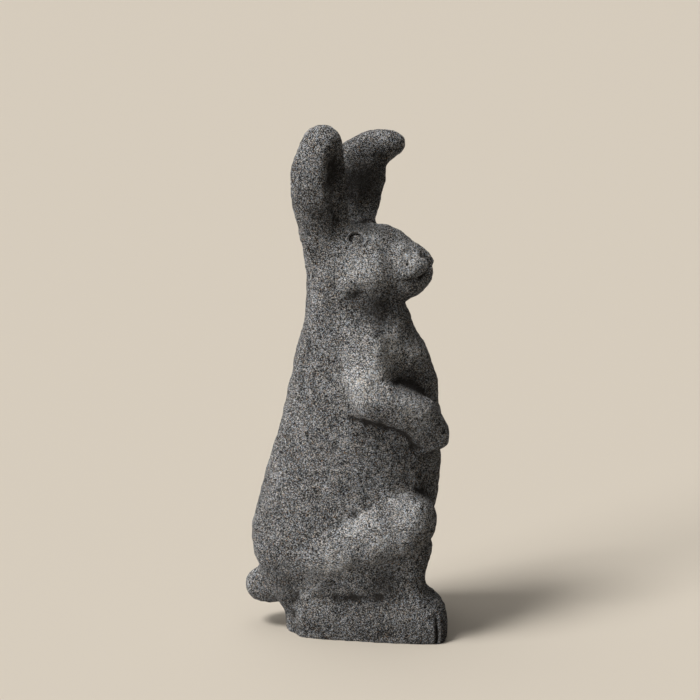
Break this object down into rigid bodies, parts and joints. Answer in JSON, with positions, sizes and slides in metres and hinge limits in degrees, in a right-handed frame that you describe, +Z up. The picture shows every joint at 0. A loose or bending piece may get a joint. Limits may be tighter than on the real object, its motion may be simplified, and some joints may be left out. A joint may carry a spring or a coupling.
{
  "type": "garden rabbit ornament",
  "caption": "Solid cast-stone rabbit sitting up on its hind feet, forepaws on its chest, with steel bars inside its ears, standing on a flat base.",
  "frame": {"origin": "centre of the bounding box's bottom face, on the flat underside that rests on the ground", "axes": "+Z up along the tallest extent; the rabbit faces -Y; its own left side is +X"},
  "size_m": [0.1074, 0.158, 0.4005],
  "materials": {
    "volcanic_stone": "matte",
    "galvanised_steel": "satin"
  },
  "bodies": {
    "root": {"cast_body": "volcanic_stone", "right_ear_bar": "galvanised_steel", "left_ear_bar": "galvanised_steel"}
  },
  "joints": []
}
